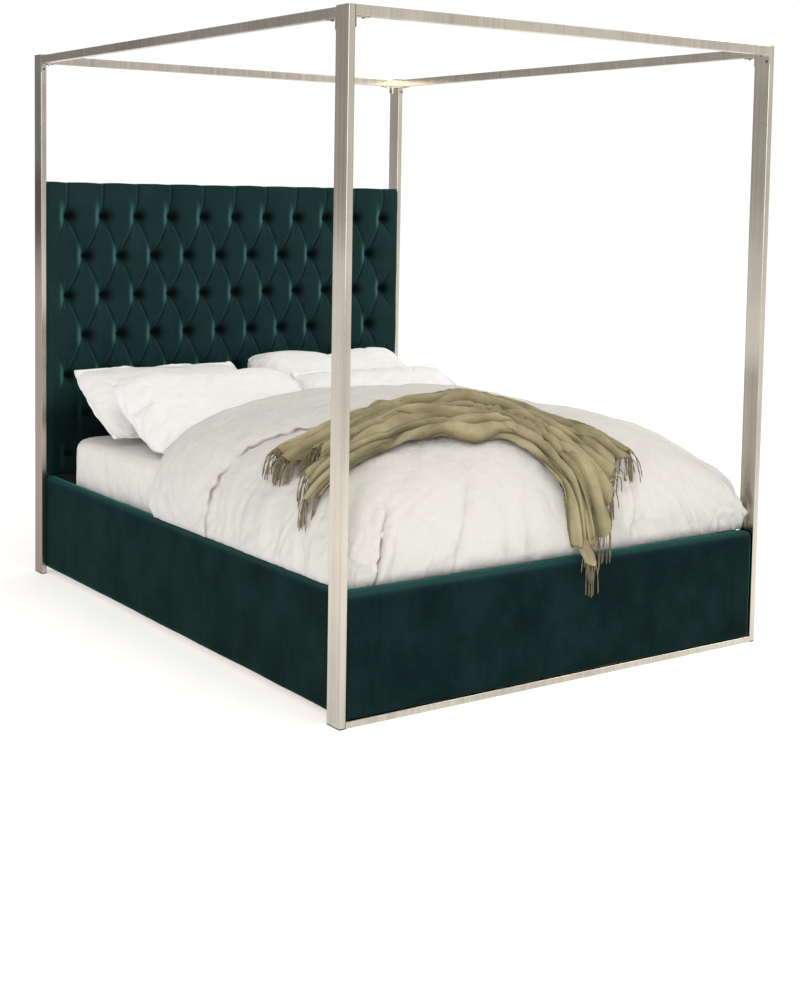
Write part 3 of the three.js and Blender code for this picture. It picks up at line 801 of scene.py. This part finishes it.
def makeDuvet(cotton):
    dome = duvetDome()
    half, foot = dome["half"], dome["foot"]

    def across(x):  # distance round the dome from its middle line
        return np.sign(x) * (np.abs(x) + (dome["top"] - dome["height"](x, np.full_like(x, -0.35))) * 0.9)

    def shape(u, v):
        x = half * easeRound(2 * u - 1)
        end = dome["headEnd"](x)
        edge = turnAt(across(x))
        first = duvet["turnRow"]
        low, high = np.clip(v / first, 0, 1), np.clip((v - first) / (1 - first), 0, 1)
        y = np.where(v > first, edge + (end - edge) * (1 - rampUp(1 - high)),
                     foot + (edge - foot) * rampUp(low))
        return np.stack([x, y, dome["height"](x, y)], -1)

    piece = gridPiece("duvet_cover", duvet["columns"], duvet["rows"], shape)
    place, out = points(piece), points(piece, "normal")
    x, y, z = place.T
    base, top = dome["base"], dome["top"]
    # unfolded coordinates: the distance round the dome from its crown
    wx = across(x)
    low = top - dome["height"](np.zeros_like(x), y)
    wy = y - low * 0.9 * (y < -0.3)
    rim = np.clip((z - base) / 0.30, 0, 1)  # 0 where it meets the rails

    push = (0.010 * softNoise(wx * 2.6, wy * 2.6, 31) + 0.005 * softNoise(wx * 6, wy * 6, 32)
            + 0.0022 * softNoise(wx * 16, wy * 13, 33))
    # folds that climb from the rails and the footboard
    atFoot = np.exp(-np.clip(wy - (foot - 0.36), 0, 9) / 0.16)
    lean = wx * 6.5 + (wy - foot) * 5.0 * np.sign(wx - 0.2)
    push += atFoot * duvet["footFolds"] * (
        folds(lean + 1.4 * softNoise(wx * 3, wy * 3, 34), wy * 3.0 - wx, 35) - 0.45)
    push += atFoot ** 1.5 * 0.010 * (folds(lean * 2.7 + softNoise(wx * 6, wy * 6, 44), wy * 5.0, 45) - 0.45)
    atSide = np.exp(-np.clip(half + 0.33 - np.abs(wx), 0, 9) / 0.12)
    push += atSide * duvet["sideFolds"] * (
        folds(wy * 9 + 1.2 * softNoise(wx * 3, wy * 3, 36), wx * 2.2, 37) - 0.45)
    corner = np.exp(-np.hypot(x - half, (y - foot) * 0.8) / 0.16)
    push += corner * duvet["cornerFolds"] * (
        folds((x + y) * 16 + softNoise(wx * 4, wy * 4, 38), z * 3, 39) - 0.4)
    # sewn seams
    seam = np.zeros_like(x)
    for seed, (line, strength) in enumerate(seams):
        far, at = lineFar(wx, wy, line)
        fade = strength * np.clip(at / 0.25, 0, 1)
        push -= duvet["seamDepth"] * np.exp(-(far / 0.013) ** 2) * fade
        push += 0.008 * np.exp(-((far - 0.04) / 0.028) ** 2) * fade
        pucker = softNoise(at * 26 + 1.5 * softNoise(at * 8, far * 12, 55), far * 9, 50 + seed)
        push += duvet["pucker"] * np.exp(-far / 0.05) * pucker * fade
        # painted shade along the seam's groove
        stitch = np.exp(-(far / 0.0055) ** 2) * fade ** 2
        seam = np.maximum(seam, stitch * np.clip(0.7 + 0.8 * pucker, 0, 1))
    # the part turned down over the head end
    side, at = wy - turnAt(wx), wx
    slant = (turnAt(wx + 0.02) - turnAt(wx - 0.02)) / 0.04
    fold = np.abs(side) / np.sqrt(1 + slant ** 2)
    behind = np.where(side > 0, fold, 0)
    ahead = np.where(side > 0, 0, fold)
    step = duvet["turnDown"]
    kink = softNoise(at * 11 + 2 * softNoise(at * 5, fold * 6, 62), fold * 8, 61)
    push += np.where(
        side > 0,
        step * (1 - np.exp(-behind / 0.045)) * (0.35 + 0.65 * np.exp(-behind / 0.40)) - 0.010,
        -0.010 - 0.006 * np.exp(-ahead / 0.03) + 0.010 * (1 - np.exp(-ahead / 0.12)))
    push += 0.012 * np.exp(-fold / 0.06) * kink * np.where(side > 0, 1, 0.5)
    tuck = softNoise(at * 30, fold * 7 + at * 3, 73)
    push += 0.006 * np.exp(-fold / 0.035) * tuck * np.where(side > 0, 1, 0.6)
    rail = np.exp(-np.clip(z - base, 0, 1) / 0.075)
    bulge = np.exp(-((y - dome["headEnd"](x) + 0.13) / 0.17) ** 2) * ease((np.abs(x) - 0.35) / 0.35)
    push += duvet["bulge"] * bulge * np.sin(np.pi * np.clip((z - base) / (top - base), 0, 1) ** 0.8)
    push += duvet["railFolds"] * rail * (
        folds(wy * 13 + wx * 5 + 1.5 * softNoise(wx * 5, wy * 5, 74), wx * 4 + wy, 75) - 0.35)
    # painted shadow line under the turned-down edge
    seam = np.maximum(seam, np.exp(-(fold / 0.0030) ** 2) * np.clip(0.75 + 1.2 * kink, 0.15, 0.9))
    push *= ease(np.minimum(rim * 6, 1)) * 0.85 + 0.15
    setPoints(piece, place + out * push[:, None])
    mark(piece, "seam", seam)
    closeEdge(piece)
    tidyNormals(piece)
    smooth(piece)
    finishPiece(piece, cotton)
    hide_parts("duvet")


pillow = {
    "long": 0.745,
    "deep": 0.45,
    "finalDeep": 0.455,  # brought to this after the simulation
    "columns": 84,
    "rows": 54,
    "pressure": 3.0,
    "extra": -0.045,  # spare cloth, which puckers at the seams
    "frames": 16,
    "cap": 0.024,  # the farthest that the simulation may move a point
    "thick": 0.145,
    "ears": 0.085,  # how far the corners are drawn in
}


def inflate(piece):
    pick(piece)
    cloth = piece.modifiers.new("cloth", "CLOTH")
    settings = cloth.settings
    settings.quality = 6
    settings.mass = 0.25
    settings.tension_stiffness = 20
    settings.compression_stiffness = 20
    settings.shear_stiffness = 8
    settings.bending_stiffness = 0.08
    settings.use_pressure = True
    settings.uniform_pressure_force = pillow["pressure"]
    settings.shrink_min = pillow["extra"]
    settings.effector_weights.gravity = 0
    cloth.collision_settings.use_collision = False
    cloth.point_cache.frame_start, cloth.point_cache.frame_end = 1, pillow["frames"]
    for step in range(1, pillow["frames"] + 1):
        bpy.context.scene.frame_set(step)
    pick(piece)
    bpy.ops.object.modifier_apply(modifier=cloth.name)
    bpy.context.scene.frame_set(1)


def makePillow(name, seed):
    def half(sign):
        def shape(u, v):
            a, b = np.sin((u - 0.5) * np.pi), np.sin((v - 0.5) * np.pi)
            ear = 1 - pillow["ears"] * np.abs(a * b) ** 3
            x = pillow["long"] / 2 * a * (1 - 0.035 * (1 - b * b)) * ear
            y = pillow["deep"] / 2 * b * (1 - 0.05 * (1 - a * a)) * ear
            full = np.sqrt(np.clip((1 - a ** 6) * (1 - b ** 4), 0, 1))
            lump = 1 + 0.05 * softNoise(a * 1.6 + seed * 3, b * 1.6, 70 + seed)
            z = sign * pillow["thick"] / 2 * 0.86 * full * lump
            return np.stack([x * sign, y, z], -1)
        return shape

    piece = join(name, [gridPiece(name, pillow["columns"], pillow["rows"], half(sign)) for sign in (1, -1)])
    tidyNormals(piece)
    before = points(piece)
    inflate(piece)
    move = points(piece) - before
    size = np.maximum(np.linalg.norm(move, axis=1), 1e-9)[:, None]
    setPoints(piece, before + move * np.minimum(1, pillow["cap"] / size))
    return piece


pillowPlaces = {
    "pillow_back_left": {"tilt": 31, "seed": 1, "wide": 0.965, "shift": 0.012},
    "pillow_back_right": {"tilt": 31, "seed": 2, "wide": 0.99, "shift": 0.0},
    "pillow_front_left": {"tilt": 26, "seed": 3, "wide": 1.0, "shift": 0.0},
    "pillow_front_right": {"tilt": 26, "seed": 4, "wide": 1.0, "shift": 0.0},
}


def makePillows(cotton):
    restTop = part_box("mattress")[1].z + 0.006
    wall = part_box("headboard_pad")[0].y - 0.004
    for name, values in pillowPlaces.items():
        low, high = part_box(name)
        middle = (low + high) / 2
        piece = makePillow(name + "_case", values["seed"])
        place = points(piece)
        size = place.max(0) - place.min(0)
        wide = (high.x - low.x) * values["wide"]
        place = place * np.array([wide / size[0], pillow["finalDeep"] / size[1], 1])
        tilt = math.radians(values["tilt"])
        x = place[:, 0]
        y = place[:, 1] * math.cos(tilt) - place[:, 2] * math.sin(tilt)
        z = place[:, 1] * math.sin(tilt) + place[:, 2] * math.cos(tilt)
        place = np.stack([x + middle.x + values["shift"], y + middle.y, z + middle.z], -1)
        place[:, 2] = softFloor(place[:, 2], restTop, 0.02)
        place[:, 1] = -softFloor(-place[:, 1], -wall, 0.01)
        setPoints(piece, place)
        modify(piece, "SUBSURF", levels=1, render_levels=1)
        smooth(piece)
        finishPiece(piece, cotton)
        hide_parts(name)


def softFloor(value, floor, soft):  # keeps a value above the floor, with a rounded change
    t = (value - floor) / soft
    return floor + soft * np.where(t > 20, t, np.log1p(np.exp(np.minimum(t, 20))))


throw = {
    "columns": 190,
    "rows": 230,
    "lift": 0.007,
    "fold": 0.051,  # height of a whole fold
    "count": 10.5,  # folds across its width
    "warp": 0.110,  # how far they wander
    "overlap": 0.30,  # how far each fold leans over the next one
    "shade": 0.95,  # how dark the painted shade in the valleys between folds is
    "thick": 0.0025,
    "tassels": 104,
    "tasselLong": 0.092,
    "tasselThick": 0.0029,
    "tasselDroop": 0.22,
    "tasselHang": 0.4,  # share of its outward turn kept past the footboard
}
# The throw's two long edges, left end first, in metres. From slopeStart towards the foot, y counts as length
# along the cloth.
slopeStart = -0.43
farEdge = [(-0.66, -0.55), (-0.60, -0.585), (-0.52, -0.59), (-0.40, -0.54), (-0.28, -0.50),
           (-0.13, -0.50), (0.0, -0.49), (0.06, -0.56), (0.09, -0.68), (0.13, -0.80), (0.20, -0.875),
           (0.27, -0.944), (0.335, -0.996)]
nearEdge = [(-0.66, -0.865), (-0.55, -0.855), (-0.39, -0.845), (-0.28, -0.886), (-0.14, -0.912),
            (-0.08, -0.96), (-0.03, -1.04), (0.0, -1.10), (0.012, -1.17), (0.022, -1.235)]

# where the duvet's turned-down edge lies
turnLine = [(-1.14, -0.25), (-0.90, -0.27), (-0.78, -0.30), (-0.70, -0.34), (-0.62, -0.385), (-0.50, -0.455),
            (-0.3, -0.455), (-0.05, -0.40), (0.3, -0.33), (0.7, -0.30), (1.14, -0.26)]
# the duvet's sewn lines, each with how deep it is pulled in
seams = [
    ([(-0.69, -1.06), (-0.70, -1.16), (-0.76, -1.30), (-0.82, -1.45)], 1.1),
    ([(-0.30, -0.95), (-0.335, -1.12), (-0.44, -1.42)], 0.45),
    ([(0.335, -0.90), (0.33, -1.12), (0.31, -1.42)], 0.5),
    ([(-0.33, -0.62), (-0.32, -0.90)], 0.12),
]


def turnAt(x):
    line = np.array(turnLine)
    wiggle = 0.009 * softNoise(x * 9, x * 0, 71) + 0.004 * softNoise(x * 27, x * 0, 72)
    return np.interp(x, line[:, 0], line[:, 1]) + wiggle


def curve(line, t):  # a smooth line through the points, by share of its length
    line = np.array(line, float)
    steps = np.r_[0, np.cumsum(np.hypot(*np.diff(line, axis=0).T))]
    at = np.clip(t, 0, 1) * steps[-1]
    index = np.clip(np.searchsorted(steps, at, side="right") - 1, 0, len(line) - 2)
    before, after = np.clip(index - 1, 0, None), np.clip(index + 2, None, len(line) - 1)
    s = ((at - steps[index]) / (steps[index + 1] - steps[index]))[:, None]
    p0, p1, p2, p3 = line[before], line[index], line[index + 1], line[after]
    return 0.5 * (2 * p1 + (p2 - p0) * s + (2 * p0 - 5 * p1 + 4 * p2 - p3) * s ** 2
                  + (3 * p1 - p0 - 3 * p2 + p3) * s ** 3)


def groundUnder(dome):
    foot = dome["foot"]
    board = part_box("footboard_upholstery")
    face, top = board[0].y - 0.002, board[1].z + 0.002
    y = foot + np.linspace(0, 1, 600) ** 3 * (slopeStart - foot)
    z = dome["height"](np.zeros_like(y), y)
    run = np.r_[0, np.cumsum(np.hypot(np.diff(y), np.diff(z)))]
    slope = run[-1]
    flat = foot - face  # across the footboard's top

    def ground(x, along):
        far = slopeStart - along
        onSlope = np.interp(np.clip(slope - far, 0, slope), run, y)
        beyond = np.clip(far - slope, 0, 9)
        gy = np.where(far < 0, along, onSlope) - np.minimum(beyond, flat)
        gz = dome["height"](x, np.maximum(gy, foot + 1e-4))
        gz = np.where(beyond > 0, np.minimum(gz, top + 0.004) - np.clip(beyond - flat, 0, 9), gz)
        return np.stack([x, gy, gz], -1)

    return ground


def endReach(t, end):  # how far each end of the cloth runs past its cut line, in metres
    if end == 0:
        return (0.075 * ease((0.62 - t) / 0.25) + 0.105 * ease((t - 0.66) / 0.16)
                + 0.008 * np.sin(t * 37) + 0.02 * softNoise(t * 9, t * 0, 88))
    return 0.125 * ease((t - 0.56) / 0.17) + 0.016 * np.sin(t * 14 + 0.5) + 0.010 * np.sin(t * 41)


def makeThrow(wool, yarn):
    dome = duvetDome()
    ground = groundUnder(dome)
    valleys = []

    def plan(s, t):
        flat = curve(farEdge, s) * (1 - t)[:, None] + curve(nearEdge, s) * t[:, None]
        drift = 0.020 * t * softNoise(s * 9, s * 0, 91) + 0.022 * (1 - t) * softNoise(s * 8, s * 0, 92)
        flat[:, 1] += drift * np.sin(np.pi * s) ** 0.5
        return flat

    def surface(s, t, lift):
        n = throw["count"]
        warp = throw["warp"] * softNoise(s * 3.2, t * 2.5, 81) + 0.014 * softNoise(s * 7, t * 7, 82)
        phase = t + warp
        sway = -throw["overlap"] / n * np.sin(2 * np.pi * n * phase + 0.7)
        at = np.clip(t + sway * np.sin(np.pi * t) ** 0.5, 0, 1)
        inner = np.clip(s, 0.02, 0.98)
        flat = plan(inner, at)
        ahead = plan(inner + 0.01, at) - plan(inner - 0.01, at)
        ahead /= np.linalg.norm(ahead, axis=1)[:, None]
        ahead *= np.array([1, 0.6])
        share = (np.clip((s - 0.90) / 0.10, 0, 1) * endReach(t, 1)
                 - np.clip((0.10 - s) / 0.10, 0, 1) * endReach(t, 0))
        down = np.stack([0.12 * np.ones_like(s), -np.ones_like(s)], -1)
        heading = np.where((s > 0.5)[:, None], down, ahead)
        flat = flat + heading * share[:, None]
        x, y = flat[:, 0], flat[:, 1]
        under = ground(x, y)
        step = 0.004
        normal = np.cross(ground(x + step, y) - under, ground(x, y + step) - under)
        normal /= np.maximum(np.linalg.norm(normal, axis=1), 1e-9)[:, None]
        ridge = np.abs(np.sin(np.pi * n * phase)) ** 0.72
        ridge *= (0.40 + 1.3 * np.abs(softNoise(s * 1.5 + 5, t * n * 0.6, 83))
                  + 0.2 * softNoise(s * 3, t * 4, 90))
        small = folds(t * 21 + 2.4 * softNoise(s * 3, t * 5, 84), s * 2.6, 85) * 0.38
        knee = np.exp(-((s - 0.53) / 0.09) ** 2)
        crumple = folds(s * 15 - t * 6 + 2.2 * softNoise(s * 5, t * 5, 86), t * 6 + s * 5, 87)
        crumple *= 0.06 + 0.10 * knee
        edge = 0.45 + 0.55 * ease(np.minimum(t, 1 - t) / 0.04)
        # painted shade, darkest in the valleys between folds
        valleys.append(np.clip(1.05 - (ridge + 0.8 * small + 0.8 * crumple) / 0.70, 0, 1) ** 0.65)
        high = throw["lift"] + throw["fold"] * (ridge + small + crumple) * edge
        return under + normal * (high + lift)[:, None]

    piece = gridPiece("throw_cloth", throw["rows"], throw["columns"], lambda s, t: surface(s, t, 0.0))
    mark(piece, "dip", valleys[0] * throw["shade"])
    modify(piece, "SOLIDIFY", thickness=throw["thick"], offset=-1)
    tidyNormals(piece)
    smooth(piece)
    finishPiece(piece, wool)
    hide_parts("throw")

    # twisted tassels at both ends
    rng = np.random.default_rng(9)
    pieces = []
    for end in (0.0, 1.0):
        for k in range(throw["tassels"]):
            t = np.array([(k + 0.5) / throw["tassels"]])
            start = surface(np.array([end]), t, 0.001)[0]
            inner = surface(np.array([abs(end - 0.02)]), t, 0.001)[0]
            heading = (start - inner) / np.linalg.norm(start - inner)
            pieces.append(makeTassel(start, heading, dome, rng))
    tassels = join("throw_fringe", pieces)
    smooth(tassels)
    finishPiece(tassels, yarn)


def makeTassel(start, heading, dome, rng):
    sides, rings = 6, 14
    long = throw["tasselLong"] * rng.uniform(0.85, 1.15)
    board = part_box("footboard_upholstery")
    step = long / rings
    place = np.array(start) - np.array(heading) * 0.004
    path = [place.copy()]
    turn = rng.uniform(-0.5, 0.5)
    bend = rng.uniform(-6.0, 6.0)
    heading = np.array(heading)
    for i in range(rings):
        angle = turn if i == 0 else bend * step * 3
        c, s = math.cos(angle), math.sin(angle)
        heading = np.array([heading[0] * c - heading[1] * s, heading[0] * s + heading[1] * c, heading[2]])
        heading = heading + np.array([0, 0, -throw["tasselDroop"]])
        if place[1] < board[0].y - 0.004:  # past the footboard nothing holds it, so it hangs down
            heading[1] *= throw["tasselHang"]
        heading /= np.linalg.norm(heading)
        place = place + heading * step
        if place[1] > dome["foot"]:
            floorZ = float(dome["height"](np.array([place[0]]), np.array([place[1]]))[0]) + 0.006
            if abs(place[0]) < dome["half"] - 0.002 and place[2] < floorZ:
                place[2] = floorZ
        elif place[1] > board[0].y - 0.006:
            if place[2] < board[1].z + 0.005 and place[1] > board[0].y - 0.004:
                place[1] = board[0].y - 0.008
        path.append(place.copy())
    path = np.array(path)
    ahead = np.gradient(path, axis=0)
    ahead /= np.maximum(np.linalg.norm(ahead, axis=1), 1e-9)[:, None]
    sideways = np.cross(ahead, [0.13, 0.21, 0.97])
    sideways /= np.maximum(np.linalg.norm(sideways, axis=1), 1e-9)[:, None]
    third = np.cross(ahead, sideways)

    def shape(u, v):
        ring = np.round(v * rings).astype(int)
        angle = u * 2 * math.pi + v * 9
        knot = 1 + 0.7 * np.exp(-((v - 0.88) / 0.06) ** 2)
        radius = throw["tasselThick"] / 2 * (1 + 0.28 * np.cos(2 * u * 2 * math.pi)) * knot
        radius = np.where(v > 0.99, radius * 0.6, radius)
        return (path[ring] + sideways[ring] * (np.cos(angle) * radius)[:, None]
                + third[ring] * (np.sin(angle) * radius)[:, None])

    piece = gridPiece("tassel", sides, rings, shape)
    tidyNormals(piece)
    closeEdge(piece, rim=False)
    return piece


screw = {"radius": 0.0048, "dome": 0.0026, "alongRail": 0.031, "downPost": 0.020, "bracket": 0.003}


def makeScrews(steel):
    heads = []
    for name in nodes:
        if not name.startswith("canopy_bracket"):
            continue
        low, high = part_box(name)
        axis = 0 if name.endswith("_cross") else 1
        inward = -1 if low[axis] + high[axis] > 0 else 1
        corner = low[axis] if inward > 0 else high[axis]
        under, beside = (low + high) / 2, (low + high) / 2
        under[axis], under[2] = corner + inward * screw["alongRail"], high.z - screw["bracket"]
        beside[axis], beside[2] = corner + inward * screw["bracket"], high.z - screw["downPost"]
        for place, along in ((under, 2), (beside, axis)):
            drop()
            bpy.ops.mesh.primitive_uv_sphere_add(
                segments=16, ring_count=8, radius=screw["radius"], location=place)
            head = bpy.context.object
            head.scale[along] = screw["dome"] / screw["radius"]
            heads.append(head)
    piece = join("canopy_screw_heads", heads)
    smooth(piece)
    finishPiece(piece, steel)


keptFinish = {
    "post": "polished_metal", "canopy": "polished_metal", "footboard_trim": "polished_metal",
    "footboard_core": "board", "side_rail_core": "board", "headboard_core": "dark_lining",
    "headboard_back_panel": "dark_lining", "rail_bracket": "plated_steel", "slat_ledge": "plated_steel",
    "centre_beam": "pine", "beam_hanger": "plated_steel", "centre_leg": "pine",
    "levelling_foot": "black_plastic", "slat_roll": "pine", "mattress": "mattress_ticking",
    "post_glide": "black_plastic",
}


def finishKept(materials):
    for name, node in nodes.items():
        match = max((k for k in keptFinish if name.startswith(k)), key=len, default=None)
        if match and not node.hide_render:
            node.data.materials.clear()
            node.data.materials.append(materials[keptFinish[match]])


def main():
    makeCamera()
    makeStudio()
    print("camera and studio")
    materials = {
        "polished_metal": makeMetal(), "plated_steel": makeZinc(), "teal_velvet": makeVelvet(),
        "pine": makePine(), "mattress_ticking": makeTicking(),
        "dark_lining": makePlain("darkLining", (25.0, 5.0), (0.010, 0.011, 0.012), (0.024, 0.026, 0.027),
                                 (700.0, 1.0), 0.75, 0.0005, Sheen_Weight=0.2),
        "board": makePlain("board", (60.0, 5.0), (0.30, 0.19, 0.10), (0.50, 0.36, 0.22),
                           depth=0.0005, Roughness=0.8),
        "black_plastic": makePlain("blackPlastic", (50.0,), (0.012, 0.012, 0.013), (0.022, 0.022, 0.023),
                                   (1200.0,), 0.4, 0.0002, Specular_IOR_Level=0.4),
        "white_cotton": makeCotton("sheetCotton", finishes["cotton"]),
        "olive_wool": makeWool("oliveWool", finishes["woolDark"], finishes["woolLight"]),
    }
    lineShaded = makeCotton("duvetCotton", finishes["duvetCotton"], True)
    brightCotton = makeCotton("pillowCotton", finishes["pillowCotton"])
    makePanels(materials["teal_velvet"])
    print("panels")
    makeHeadboard(materials["teal_velvet"])
    print("headboard")
    makeSheet(materials["white_cotton"])
    print("sheet")
    makeDuvet(lineShaded)
    print("duvet")
    makePillows(brightCotton)
    print("pillows")
    makeThrow(materials["olive_wool"], makeWool("twistedFringe", finishes["woolDark"], finishes["fringe"]))
    print("throw")
    makeScrews(makePlain("blackedSteel", (300.0,), (0.05, 0.05, 0.052), (0.11, 0.11, 0.112),
                         roughness=0.32, Metallic=1.0))
    finishKept(materials)
    print("finishes")


main()
